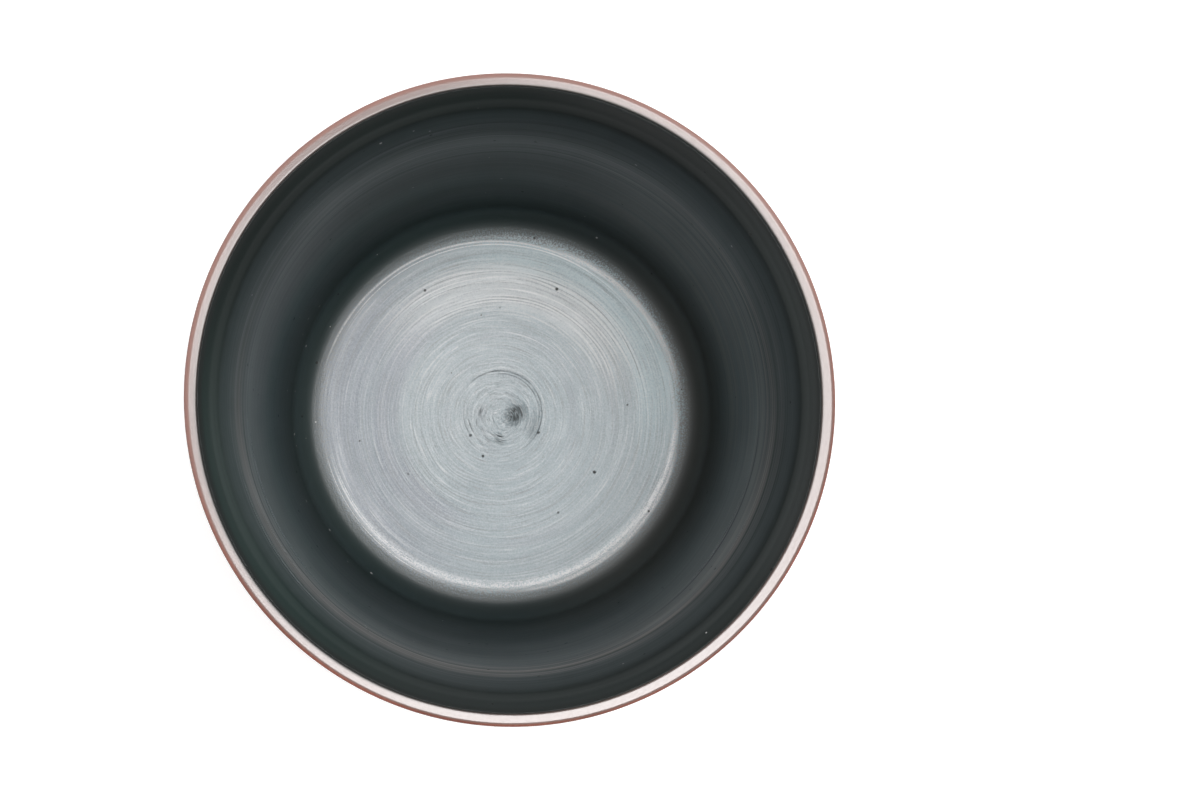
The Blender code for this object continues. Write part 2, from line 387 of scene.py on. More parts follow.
def lip_outline():
    """Over the lip from inside to outside: a small rounding, a flat and a larger rounding."""
    up_wall = pointing(math.pi / 2 - LIP_LEAN)
    inner_end = inner_point(1.0, 0.0)
    arc_height = LIP_HEIGHT - LIP_INNER_EDGE * (1 - math.sin(LIP_LEAN))
    arc_start = inner_end + up_wall * (arc_height - inner_end.y) / up_wall.y
    centre = arc_start - LIP_INNER_EDGE * pointing(math.pi - LIP_LEAN)
    inner = arc(centre, LIP_INNER_EDGE, math.pi - LIP_LEAN, math.pi / 2, EDGE_STEPS)
    outer = arc(LIP_CENTRE, LIP_OUTER_EDGE, math.pi / 2, -LIP_LEAN)
    return inner + between(inner[-1], outer[0], EDGE_STEPS) + outer


def eased(value, start, end):
    """A smooth passage from 0 to 1 as a value goes from start to end."""
    share = np.clip((value - start) / (end - start), 0, 1)
    return share**2 * (3 - 2 * share)


def waves(along, angles, pitch, seed):
    """Throwing rings, about 1 high: waves of unlike pitch along an outline that wander as they go round."""
    draw = np.random.default_rng(seed)
    total = np.zeros((len(along), len(angles)))
    for share in np.geomspace(0.5, 2.0, 9):
        start, turn = draw.uniform(0, 2 * np.pi, 2)
        wander = draw.uniform(0.4, 1.4)
        total += np.sin(2 * np.pi * along[:, None] / (pitch * share) + start + wander * np.sin(angles + turn))
    return total / 3


def lip_push(points, angles):
    """How far the inside of the lip is pushed inwards, sideways and lengthways."""
    up = eased(points[:, 1:], LIP_HEIGHT - LIP_PUSH_DEPTH, LIP_HEIGHT - LIP_PUSH_FULL)
    inner = np.clip((LIP_CENTRE.x - points[:, :1]) / (LIP_CENTRE.x - LIP_INSIDE), 0, 1)
    side = np.clip(np.cos(angles - math.radians(THICK_LIP_SIDE)), 0, 1)
    push = -bpy.context.scene.teacup_clay.lip_thick * up * inner * side**2
    return push * np.cos(angles), push * np.sin(angles)


def length_along(points):
    """Distance along an outline to each of its points."""
    steps = np.linalg.norm(np.diff(points, axis=0), axis=1)
    return np.concatenate(([0.0], np.cumsum(steps)))


def turned(name, outline, relief, lift=None, slide=None, closed=False):
    """A mesh turned from an outline, raised by a relief, lifted and slid, with a UV map that unrolls it."""
    points = np.array([tuple(point) for point in outline])
    angles = np.linspace(0, 2 * np.pi, TURN_STEPS, endpoint=False)
    shape = bpy.context.scene.teacup_clay
    if closed:
        points = np.vstack((points, points[:1]))
    along = length_along(points)
    tangent = np.gradient(points, axis=0)
    if closed:
        tangent[0] = tangent[-1] = tangent[0] + tangent[-1]
    normal = np.stack((-tangent[:, 1], tangent[:, 0]), axis=1) / np.linalg.norm(tangent, axis=1)[:, None]
    raised = relief(points, along, angles)
    radius = points[:, :1] + normal[:, :1] * raised
    height = points[:, 1:] + normal[:, 1:] * raised
    up = np.clip(height / LIP_HEIGHT, 0, 1)
    radius = radius * (1 + shape.oval / RIM_RADIUS * up * np.cos(2 * (angles + math.radians(60))))
    height = height + shape.lip_wave * up**4 * (np.cos(2 * angles + 1.0) + 0.6 * np.cos(3 * angles + 0.4))
    if lift:
        height = height + lift(points, angles)
    on_axis = points[:, 0] < 1e-9
    radius[on_axis] = 0.0
    height[on_axis] = height[on_axis].mean(axis=1, keepdims=True)
    aside_x, aside_y = slide(points, angles) if slide else (0.0, 0.0)
    places = np.stack((radius * np.cos(angles) + aside_x, radius * np.sin(angles) + aside_y, height), axis=2)
    places = places.reshape(-1, 3)

    row, column = np.meshgrid(np.arange(len(points) - 1), np.arange(TURN_STEPS), indexing="ij")
    corners = [(row, column), (row + 1, column), (row + 1, column + 1), (row, column + 1)]
    faces = np.stack([r * TURN_STEPS + c % TURN_STEPS for r, c in corners], axis=2).reshape(-1, 4)
    spread = np.stack([np.stack((c / TURN_STEPS, along[r] / along[-1]), axis=2) for r, c in corners], axis=2)

    data = bpy.data.meshes.new(name)
    data.from_pydata(places.tolist(), [], faces.tolist())
    data.uv_layers.new(name="OFBake").uv.foreach_set("vector", spread.astype(np.float32).ravel())
    mesh = bmesh.new()
    mesh.from_mesh(data)
    bmesh.ops.remove_doubles(mesh, verts=mesh.verts, dist=1e-8)
    mesh.to_mesh(data)
    mesh.free()
    data.shade_smooth()
    return data


def add_piece(name, data, material, node):
    """Shows a finished mesh in place of a CAD piece, riding on the cup."""
    data.materials.append(material)
    piece = bpy.data.objects.new(name, data)
    bpy.context.scene.collection.objects.link(piece)
    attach(piece, "root")
    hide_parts(node)


class Value:
    """A value in a shader tree. Arithmetic with it adds Math nodes."""

    def __init__(self, n, socket):
        self.n = n
        self.socket = socket

    def __add__(self, other):
        return self.n.calc("ADD", self, other)

    def __sub__(self, other):
        return self.n.calc("SUBTRACT", self, other)

    def __mul__(self, other):
        return self.n.calc("MULTIPLY", self, other)

    def __truediv__(self, other):
        return self.n.calc("DIVIDE", self, other)


class Nodes:
    """Short ways of adding nodes to one shader tree."""

    def __init__(self, tree):
        self.tree = tree

    def put(self, socket, value):
        """Sets a socket to a number or a colour, or joins it to a value."""
        if isinstance(value, Value):
            self.tree.links.new(value.socket, socket)
        else:
            socket.default_value = value

    def add(self, kind, inputs, **settings):
        """A new node with its settings, and inputs by name or number: its outputs as values."""
        node = self.tree.nodes.new("ShaderNode" + kind)
        for name, setting in settings.items():
            setattr(node, name, setting)
        for name, value in inputs.items():
            self.put(node.inputs[name], value)
        return [Value(self, socket) for socket in node.outputs]

    def calc(self, operation, *values):
        """A Math node's result."""
        return self.add("Math", dict(enumerate(values)), operation=operation)[0]

    def ranged(self, value, start, end, low=0.0, high=1.0):
        """A value that passes smoothly from low to high as the given one goes from start to end."""
        inputs = {"Value": value, "From Min": start, "From Max": end, "To Min": low, "To Max": high}
        return self.add("MapRange", inputs, interpolation_type="SMOOTHSTEP")[0]

    def layered(self, colour, *coats):
        """A colour with others laid over it, each by its own share."""
        for share, coat in coats:
            pair = [paint if isinstance(paint, Value) else (*paint, 1.0) for paint in (colour, coat)]
            colour = self.add("Mix", {0: share, 6: pair[0], 7: pair[1]}, data_type="RGBA")[2]
        return colour

    def noise(self, place, scale, detail):
        """A noise value at a place."""
        return self.add("TexNoise", {"Vector": place, "Scale": scale, "Detail": detail})[0]

    def on_cup(self):
        """The place on the cup."""
        return named(self.add("TexCoord", {}))["Object"]

    def seen_from(self, place, x, y):
        """A place as measured from a point of the floor that stands off the axis."""
        return self.add("VectorMath", {0: place, 1: (x, y, 0.0)}, operation="SUBTRACT")[0]

    def radius(self, x, y):
        """The distance from the axis."""
        return self.calc("SQRT", x * x + y * y)

    def band(self, value, middle, half):
        """1 in the middle of a band and 0 at its edges."""
        return self.ranged(self.calc("ABSOLUTE", value - middle), half, 0.0)

    def spot(self, at, centre, size, degrees):
        """A soft oval spot on the floor, its long side turned by an angle."""
        cosine, sine = math.cos(math.radians(degrees)), math.sin(math.radians(degrees))
        x, y = at.x - centre[0], at.y - centre[1]
        along = x * (cosine / size[0]) + y * (sine / size[0])
        across = x * (-sine / size[1]) + y * (cosine / size[1])
        return self.ranged(self.radius(along, across), 1.0, 0.25)

    def drawn_out(self, at, along, breaks, seed, detail):
        """Noise that is drawn out round the cup and changes along the outline."""
        reach = breaks / at.away
        around = self.add("CombineXYZ", {0: along + seed, 1: at.x * reach, 2: at.y * reach + seed})[0]
        return self.noise(around, 1.0, detail)

    def group(self, name, **settings):
        """A shared node group with its inputs set, as a dictionary of its outputs."""
        shared = bpy.data.node_groups.get(name) or GROUP_MAKERS[name](name)
        inputs = {socket.replace("_", " "): value for socket, value in settings.items()}
        return named(self.add("Group", inputs, node_tree=shared))

    def lines(self, place, spacing, breaks, seed):
        """Thrown lines, as a dictionary of their kinds."""
        return self.group("thrown_lines", Place=place, Spacing=spacing, Breaks=breaks, Seed=seed)


def named(values):
    """Values by the names of their sockets."""
    return {value.socket.name: value for value in values}


class Around:
    """A place on the cup as seen from an upright axis: its parts, its distance and the way it faces."""

    def __init__(self, n, place, x=0.0, y=0.0):
        self.n = n
        self.place = n.seen_from(place, x, y)
        self.x, self.y, self.z = n.add("SeparateXYZ", {0: self.place})
        self.away = n.calc("MAXIMUM", n.radius(self.x, self.y), 1e-5)

    def facing(self, degrees):
        """How nearly the place faces a direction: 1 there, -1 opposite."""
        angle = math.radians(degrees)
        return (self.x * math.cos(angle) + self.y * math.sin(angle)) / self.away

    def side(self, degrees, start, end, low=0.0, high=1.0):
        """A value that passes from low to high as the place turns to face a direction."""
        return self.n.ranged(self.facing(degrees), start, end, low, high)


def new_group(name, inputs, outputs):
    """An empty node group with named sockets: its nodes, and its input and output sockets."""
    group = bpy.data.node_groups.new(name, "ShaderNodeTree")
    for socket in inputs:
        kind = "NodeSocketVector" if socket == "Place" else "NodeSocketFloat"
        group.interface.new_socket(socket, in_out="INPUT", socket_type=kind)
    for socket in outputs:
        group.interface.new_socket(socket, in_out="OUTPUT", socket_type="NodeSocketFloat")
    n = Nodes(group)
    given = [Value(n, socket) for socket in group.nodes.new("NodeGroupInput").outputs]
    return group, n, named(given), group.nodes.new("NodeGroupOutput").inputs


LINE_INPUTS = ("Place", "Spacing", "Breaks", "Seed")


def thrown_lines(name):
    """Lines round the cup, broken into arcs: all of them, the sharp pale ones and the sharp dark ones."""
    group, n, given, result = new_group(name, LINE_INPUTS, ("Lines", "Pale", "Dark"))
    at = Around(n, given["Place"])
    along = (at.away + at.z) / given["Spacing"]
    grain = n.drawn_out(at, along, given["Breaks"], given["Seed"], 2.0)
    n.put(result["Lines"], n.ranged(grain, 0.3, 0.7))
    n.put(result["Pale"], n.ranged(grain, 0.58, 0.72))
    n.put(result["Dark"], n.ranged(grain, 0.42, 0.28))
    return group


def ring_pairs(name):
    """Crisp rings in pairs, a pale line beside a dark one, that come and go as they run round the cup."""
    group, n, given, result = new_group(name, LINE_INPUTS, ("Pale", "Dark"))
    at = Around(n, given["Place"])
    along = at.away / given["Spacing"]
    wander = n.drawn_out(at, along * 0.35, given["Breaks"], given["Seed"], 1.5)
    shown = n.ranged(n.drawn_out(at, along * 0.9, given["Breaks"], given["Seed"], 1.5), 0.38, 0.62)
    wave = n.calc("SINE", (along + wander * 2.5) * (2 * math.pi))
    n.put(result["Pale"], shown * n.ranged(wave, 0.2, 1.0))
    n.put(result["Dark"], shown * n.ranged(wave, -0.2, -1.0))
    return group


def pinholes(name):
    """Scattered specks: pinholes left by the slip, or grit in the clay."""
    group, n, given, result = new_group(name, ("Place", "Spacing", "Size", "Share"), ("Holes",))
    scale = n.calc("DIVIDE", 1.0, given["Spacing"])
    distance, colour = n.add("TexVoronoi", {"Vector": given["Place"], "Scale": scale})[:2]
    first, second = n.add("SeparateColor", {0: colour})[:2]
    chosen = n.calc("LESS_THAN", first, given["Share"])
    reach = given["Size"] * second / given["Spacing"]
    n.put(result["Holes"], chosen * n.ranged(distance, reach, reach * 0.5))
    return group


def fired_mottle(name):
    """Clouds and grain of fired clay."""
    group, n, given, result = new_group(name, ("Place", "Cloud Size", "Grain Size"), ("Clouds", "Grain"))
    for kind, size, detail in (("Clouds", "Cloud Size", 3.0), ("Grain", "Grain Size", 2.0)):
        value = n.noise(given["Place"], n.calc("DIVIDE", 1.0, given[size]), detail)
        n.put(result[kind], n.ranged(value, 0.32, 0.68))
    return group


GROUP_MAKERS = {maker.__name__: maker for maker in (thrown_lines, ring_pairs, pinholes, fired_mottle)}


def new_material(name, settings):
    """A new material with its shader's settings: its nodes and its shader's inputs."""
    material = bpy.data.materials.new(name)
    material.use_nodes = True
    n = Nodes(material.node_tree)
    shader = n.tree.nodes["Principled BSDF"].inputs
    for socket, value in settings.items():
        shader[socket].default_value = value
    return material, n, shader


def bumped(n, shader, height, distance):
    """Drives the shader's normal from a height between 0 and 1."""
    n.put(shader["Normal"], n.add("Bump", {"Distance": distance, "Height": height})[0])


def clay_material():
    """Burnished red clay: clouds, turned lines, dark grit, and a lip wiped to a fine, shiny skin whose colour
    is partly a painted sheen, with a painted highlight on the rounding outside it.
    """
    look = bpy.context.scene.teacup_clay
    settings = {"IOR": 1.45, "Specular IOR Level": 0.2, "Coat IOR": 1.8, "Coat Roughness": 0.2}
    material, n, shader = new_material("red_clay", settings)
    place = n.on_cup()
    at = Around(n, place)
    mottle = n.group("fired_mottle", Place=place, Cloud_Size=0.012, Grain_Size=0.00035)
    fine = n.lines(place, 0.00045, 1.6, 3.0)["Lines"]
    broad = n.lines(place, 0.0035, 0.8, 11.0)["Lines"]
    grit = n.group("pinholes", Place=place, Spacing=0.0022, Size=0.00022, Share=0.45)["Holes"]

    long_way = at.facing(-60)
    round_radius = at.away - long_way * long_way * (2 * look.oval) + look.oval
    wiped_to = round_radius - at.facing(-30) * 0.0001
    high = n.ranged(at.z, LIP_HEIGHT - 0.0009, LIP_HEIGHT - 0.0005)
    # The lip's flat, coloured as wiped clay and partly a painted sheen.
    lip = high * n.ranged(wiped_to, RIM_RADIUS - 0.00022, RIM_RADIUS - 0.00052)
    # Painted highlight: the rounding outside the lip is paler towards the far side, where it faces the lamps.
    far = at.side(ROUND_LIP_SIDE, -0.7, 0.4, 0.1, 1.0)
    rim = n.ranged(round_radius, RIM_RADIUS - 0.0009, RIM_RADIUS - 0.0004) * far
    oval = at.facing(17)
    round_side = at.facing(ROUND_LIP_SIDE)
    wander = oval * oval * 0.0002 + oval * 0.00004 + broad * 0.00006 - round_side * 0.00003
    pushed = at.side(THICK_LIP_SIDE, 0.0, 1.0, 0.0, 0.5 * look.lip_thick)
    slip_edge = at.away + wander - 0.00004 + pushed
    slipped = high * n.ranged(slip_edge, LIP_INSIDE + 0.00062, LIP_INSIDE + 0.00002)

    colour = n.layered(
        look.main_colour,
        (mottle["Clouds"], look.deep_colour),
        (broad * 0.45, look.main_colour),
        (fine * mottle["Grain"] * 0.35, look.pale_colour),
        (lip * 0.9, look.lip_clay_and_sheen_colour),
        (rim * 0.8, look.rim_highlight_colour),
        (grit * 0.8, look.deep_colour),
        (slipped, bpy.context.scene.teacup_slip.edge_colour),
    )
    n.put(shader["Base Color"], colour)
    n.put(shader["Roughness"], n.ranged(fine, 0.0, 1.0, 0.5, 0.6) + grit * 0.2)
    bare = n.ranged(slipped, 0.0, 1.0, 1.0, 0.15)
    polished = n.ranged(mottle["Grain"], 0.0, 1.0, 0.88, 1.0) * at.side(42, -0.35, 1.0, 1.0, 0.7)
    n.put(shader["Coat Weight"], lip * bare * polished)
    height = fine * 0.5 + mottle["Grain"] * 0.3
    bumped(n, shader, height - grit, 0.00003)
    return material


def foot_material():
    """Bare foot clay: gritty, dull, and rubbed paler where it stands."""
    look = bpy.context.scene.teacup_clay
    material, n, shader = new_material("foot_clay", {"IOR": 1.45})
    place = n.on_cup()
    mottle = n.group("fired_mottle", Place=place, Cloud_Size=0.006, Grain_Size=0.0004)
    fine = n.lines(place, 0.0006, 2.0, 7.0)["Lines"]
    grit = n.group("pinholes", Place=place, Spacing=0.0012, Size=0.00028, Share=0.6)["Holes"]
    tread = n.ranged(n.add("SeparateXYZ", {0: place})[2], 0.0009, 0.0001)
    colour = n.layered(
        look.foot_colour,
        (mottle["Clouds"], look.main_colour),
        (mottle["Grain"] * 0.25, look.pale_colour),
        (tread * 0.55, look.pale_colour),
        (grit * 0.8, look.deep_colour),
    )
    n.put(shader["Base Color"], colour)
    n.put(shader["Roughness"], n.ranged(mottle["Grain"], 0.0, 1.0, 0.55, 0.75))
    height = fine * 0.4 + mottle["Grain"]
    bumped(n, shader, height - grit, 0.00006)
    return material


def swirl_marks(n, at):
    """Marks that the finger left in the floor's middle: the dark ones with a painted shade, the pale ones
    with a painted highlight, and the fine streaks.
    """
    streaks = n.lines(n.seen_from(at.place, *SWIRL_CENTRE), 0.00016, 2.2, 13.0)
    spots = {name: n.spot(at, *spot) for name, spot in SWIRL_SPOTS.items()}
    rubbed = spots["left"] * 0.45 + spots["low"] * 0.75
    worn = rubbed * n.ranged(streaks["Lines"], 0.75, 0.1)
    pit = spots["pit"] * n.ranged(streaks["Lines"], 0.9, 0.1, 0.35, 1.0)
    # The pit joins the worn spots, and so does a painted shade beside the swirl's ring.
    worn = worn + pit + spots["shade"] * 0.2

    ring = Around(n, at.place, *SWIRL_ARC_CENTRE)
    arcs = 0.0
    for reach, half, degrees, start, end, strength in SWIRL_ARCS:
        shown = n.band(ring.away, reach, half) * ring.side(degrees, start, end, 0.0, strength)
        arcs = n.calc("MAXIMUM", arcs, shown)
    arcs = arcs * n.ranged(streaks["Lines"], 0.1, 0.9, 0.8, 0.3)
    inside = n.ranged(ring.away, 0.0064, 0.004)
    dots = spots["first_dot"] + spots["second_dot"]
    dark = worn + arcs + dots + inside * streaks["Dark"] * 0.4
    highlight = n.band(ring.away, 0.0064, 0.00022) * ring.side(40, 0.2, 0.8) * 0.4
    pale = highlight + inside * streaks["Pale"] * 0.3
    return n.calc("MINIMUM", dark, 1.0), pale, streaks


def edge_streaks(n, place):
    """Painted highlights: narrow bright arcs along the floor's edge, where the lamp's reflection runs along
    the rounding.
    """
    total = 0.0
    for centre, reach, half, middle, span in EDGE_STREAKS:
        ring = Around(n, place, *centre)
        start, full = (math.cos(math.radians(span + fade)) for fade in STREAK_FADE)
        shown = ring.side(middle, start, full)
        total = n.calc("MAXIMUM", total, n.band(ring.away, reach, half) * shown)
    return total


def floor_slip_and_reflection(n, look, at, lines, grain):
    """Floor slip, paler than the wall and partly a painted reflection of the lamp overhead: fine rings all
    over, chalky on the far side and with darker, cooler bands on the left.
    """
    fine, middle, broad = lines
    pairs = n.group("ring_pairs", Place=at.place, Spacing=0.0005, Breaks=1.3, Seed=4.0)
    scratches = n.lines(at.place, 0.00016, 5.0, 17.0)
    parts = {name: at.side(*side) * n.ranged(at.away, *radii) for name, (side, radii) in FLOOR_PARTS.items()}
    chalky = parts["chalky"] * n.ranged(at.away, 0.023, 0.0204)
    inset = n.band(at.away, 0.0236, 0.0008) * at.side(112, 0.4, 0.9)
    cool = parts["cool"] * n.ranged(broad["Lines"], 0.0, 1.0, 0.6, 1.1) + broad["Dark"] * 0.3

    pale = parts["far"] * 0.11 + chalky * 0.42 + grain * 0.13 + middle["Pale"] * 0.05 + fine["Pale"] * 0.16
    pale = pale + scratches["Pale"] * 0.14 + pairs["Pale"] * n.ranged(chalky, 0.0, 1.0, 0.13, 0.36)
    dark = fine["Dark"] * 0.36 + middle["Dark"] * 0.2 + scratches["Dark"] * 0.34 + inset * 0.22
    dark = dark - grain * 0.2 + 0.05 + pairs["Dark"] * n.ranged(chalky, 0.0, 1.0, 0.3, 0.7)
    return n.layered(
        look.floor_colour,
        (parts["fresh"] * 0.9, look.fresh_colour),
        (cool, look.cool_colour),
        (pale, look.chalk_and_highlight_colour),
        (dark, look.wall_colour),
    )


def wall_patches(n, at):
    """The change of roughness where the wall dried duller or shinier."""
    total = 0.0
    for middle, span, height, half, change in WALL_PATCHES:
        shown = at.side(middle, math.cos(math.radians(span)), 1.0)
        total = shown * n.band(at.z, height, half) * change + total
    return total


def wall_slip(n, look, at, lines):
    """Wall slip: brown where the slip is thinner, with a painted pale-brown highlight in the near band; green
    on the left; painted shade on the far side, low down and just under the lip on the right; painted light on
    the left; and how dull it is.
    """
    fine, middle = lines
    z = at.z
    tilted = n.seen_from(at.place, 0.0008, -0.0007)
    streaks = n.lines(tilted, 0.0017, 0.5, 23.0)
    narrow = n.lines(tilted, 0.0008, 0.6, 29.0)
    brushed = streaks["Lines"] * 0.5 + narrow["Lines"] * 0.5
    marks = {name: at.side(*side) * n.band(z, *height) for name, (side, height) in WALL_MARKS.items()}

    # Painted pale-brown highlight along the near side's band, where the wall reflects the lamp, streaked like
    # thinner slip.
    near = n.band(z, 0.069, 0.0085) * at.side(-92, -0.5, 0.6, 0.15, 1.0)
    thin_slip_and_sheen = near * n.ranged(brushed, 0.25, 0.75, 0.15, 1.0) * 1.5
    right = at.side(28, 0.6, 0.97) * n.ranged(z, 0.02, 0.035) * n.ranged(z, 0.078, 0.066)
    thin_slip_and_sheen = n.calc("MAXIMUM", thin_slip_and_sheen, right * n.ranged(brushed, 0.3, 0.7, 0.0, 1.05))
    low = at.side(-10, 0.2, 0.9) * n.ranged(z, 0.03, 0.018) * 0.22
    brown = thin_slip_and_sheen + low + marks["warm"] * n.ranged(brushed, 0.2, 0.8, 0.35, 0.8) * 0.7
    green = at.side(160, -0.2, 0.6) * n.ranged(z, 0.018, 0.038, 0.15, 1.0)
    # Painted shade: darker on the far side of the wall.
    far = at.side(106, 0.0, 0.8) * n.ranged(z, 0.03, 0.045)
    # Painted shade low on the wall, on the near and far sides.
    shaded = n.ranged(n.calc("ABSOLUTE", at.facing(85)), 0.4, 0.9) * n.band(z, 0.028, 0.0125)
    ringed = n.ranged(z, 0.05, 0.06) * n.ranged(z, 0.08, 0.076)
    pale = streaks["Pale"] * 0.06 + narrow["Pale"] * 0.05
    dark = streaks["Dark"] * 0.45 + narrow["Dark"] * 0.35
    colour = n.layered(
        look.wall_colour,
        (green, look.green_colour),
        (n.ranged(z, 0.06, 0.078) * 0.65, look.edge_colour),
        # Brown streaks of thinner slip, and the painted highlight in the near band.
        (brown * 0.6, look.brown_colour),
        (pale * ringed, look.chalk_and_highlight_colour),
        (dark * ringed + n.band(z, 0.048, 0.02) * 0.22, look.ink_and_shade_colour),
        # Painted light on the left of the wall, near the lip and low down.
        (marks["worn"] * 0.05 + marks["lit"] * 0.05, look.chalk_and_highlight_colour),
        # Painted shade just under the lip on the right.
        (marks["under"] * 0.32, look.ink_and_shade_colour),
        (fine["Dark"] * 0.22 + middle["Dark"] * 0.15, look.ink_and_shade_colour),
        # Painted shade on the far side and low on the near and far sides, with a dark dragged line.
        (far * 0.7 + marks["dragged"] * 0.7 + shaded * 0.42, look.ink_and_shade_colour),
        (n.ranged(z, LIP_HEIGHT - 0.0016, LIP_HEIGHT - 0.0006), look.edge_colour),
        (marks["wiped"] * 0.045, look.chalk_and_highlight_colour),
    )
    ridges = narrow["Dark"] * 0.12 - narrow["Pale"] * 0.1 + streaks["Dark"] * 0.05
    dull = wall_patches(n, at) + ridges * ringed + marks["dragged"] * 0.16 + 0.04
    return colour, dull


def slip_material():
    """Dark slip: a floor rubbed pale in rings and partly a painted reflection, painted grainy highlights on
    its edge, brown streaks and pinholes.
    """
    look = bpy.context.scene.teacup_slip
    material, n, shader = new_material("dark_slip", {"IOR": 1.7})
    place = n.on_cup()
    at = Around(n, place)
    grain = n.group("fired_mottle", Place=place, Cloud_Size=0.016, Grain_Size=0.00022)["Grain"]
    fine = n.lines(place, 0.00036, 2.0, 1.0)
    middle = n.lines(n.seen_from(place, -0.0002, 0.0002), 0.0009, 0.9, 5.0)
    broad = n.lines(n.seen_from(place, 0.0009, -0.0004), 0.0022, 0.6, 9.0)
    holes = n.group("pinholes", Place=place, Spacing=0.0026, Size=0.0003, Share=0.5)["Holes"]
    low_left = n.ranged(at.x, -0.008, -0.018) * n.band(at.z, 0.0175, 0.009)
    specked = n.ranged(low_left, 0.0, 0.8, 0.05, 0.85)
    apart = n.seen_from(place, 0.1, 0.1)
    specks = n.group("pinholes", Place=apart, Spacing=0.002, Size=0.00026, Share=specked)["Holes"]
    marks, pale_marks, streaks = swirl_marks(n, at)

    rub_x = (at.x - RUB_CENTRE[0]) * (1 - RUB_OVAL / RUB_RADIUS)
    rub_y = (at.y - RUB_CENTRE[1]) * (1 + RUB_OVAL / RUB_RADIUS)
    away = n.radius(rub_x, rub_y)
    ragged = away + grain * 0.0018 - 0.0009
    floor = n.ranged(ragged, RUB_RADIUS + 0.0016, RUB_RADIUS - 0.0008)
    corner = n.band(away, RUB_RADIUS + 0.0006, 0.0024)
    # Painted highlight: a broad bright crescent along the near side of the floor's edge, grainy with
    # scratches.
    hazy = Around(n, place, *HAZE_CENTRE)
    near_crescent_highlight = n.band(hazy.away, HAZE_RADIUS, 0.0011) * hazy.side(274, 0.35, 0.8)
    scratched = n.lines(hazy.place, 0.0002, 9.0, 31.0)["Lines"]
    rubbed = scratched * 0.4 + grain * 0.6
    near_crescent_highlight = near_crescent_highlight * n.ranged(rubbed, 0.2, 0.8, 0.25, 0.72)
    # Painted highlights: narrow bright arcs along the floor's edge.
    streaked = edge_streaks(n, place) * n.ranged(rubbed, 0.1, 0.8, 0.42, 1.0)
    painted_edge_highlight = n.calc("MAXIMUM", near_crescent_highlight, streaked)

    on_wall = n.ranged(floor, 0.0, 1.0, 1.0, 0.0)
    wall_colour, dull = wall_slip(n, look, at, (fine, middle))
    # Painted highlights on the floor's edge and on the swirl, and pale specks low on the wall.
    pale = painted_edge_highlight * 0.75 + pale_marks * 0.5 + specks * on_wall
    colour = n.layered(
        wall_colour,
        # The floor's paler slip, partly a painted reflection of the lamp overhead.
        (floor, floor_slip_and_reflection(n, look, at, (fine, middle, broad), grain)),
        (pale, look.chalk_and_highlight_colour),
        (n.calc("MAXIMUM", marks * 0.9, holes), look.ink_and_shade_colour),
    )
    n.put(shader["Base Color"], colour)

    height = fine["Lines"] * 0.5 + middle["Lines"] * 0.3
    rough = painted_edge_highlight * -0.1 + holes * 0.4 + marks * 0.35 + dull * on_wall
    n.put(shader["Roughness"], n.ranged(height, 0.0, 0.8, 0.37, 0.33) + rough)
    on_floor = n.ranged(floor, 0.0, 1.0, 0.25, 1.0)
    height = (height + grain * 0.25 + streaks["Lines"] * 0.3) * on_floor
    height = height + grain * corner
    bumped(n, shader, height - holes, 0.00001)
    return material


class TEACUP_OT_body(bpy.types.Operator):
    """Add the thrown clay body with its wiped lip"""

    bl_idname = "teacup.body"
    bl_label = "Add Body"

    def execute(self, context):
        look = context.scene.teacup_clay
        outer = [wall_point(t, 0.0) for t in spaced(1.0, 0.0, WALL_STEPS)[1:]]
        hip = arc(HIP_CENTRE, HIP_RADIUS, -HIP_LEAN, -math.pi / 2)[1:]
        base = [Vector((radius, BASE_HEIGHT)) for radius in spaced(HIP_CENTRE.x, 0.0, BASE_STEPS)[1:]]
        inside = [Vector((0.0, CLAY_FLOOR)), *inside_outline(0.0, HIDDEN_STEPS, HIDDEN_ARC_STEPS)]
        lip = lip_outline()
        first_outside = len(inside) + len(lip)
        lip_inside = lip[0].x

        def relief(points, along, angles):
            """Throwing rings on the outside only, dying away towards the lip."""
            shown = np.clip((np.arange(len(points)) - first_outside) / 12, 0, 1)
            return look.ring_depth * shown[:, None] * waves(along, angles, OUTER_PITCH, 21)

        def lift(points, angles):
            """The fall of the lip towards its outside, on the side where it is wiped round."""
            across = np.clip((points[:, :1] - lip_inside) / (RIM_RADIUS - lip_inside) / 0.92, 0, 1)
            side = 0.5 + 0.5 * np.cos(angles - math.radians(ROUND_LIP_SIDE))
            edge = np.clip(LIP_HEIGHT - points[:, 1:], 0, look.lip_crisp) * (points[:, :1] > LIP_CENTRE.x)
            crisp = np.clip(np.cos(angles - math.radians(CRISP_LIP_SIDE)), 0, 1)
            return edge * crisp - look.lip_wipe * across * side

        data = turned("thrown_body", inside + lip + outer + hip + base, relief, lift, lip_push)
        add_piece("thrown_body", data, clay_material(), "clay_body")
        return {"FINISHED"}


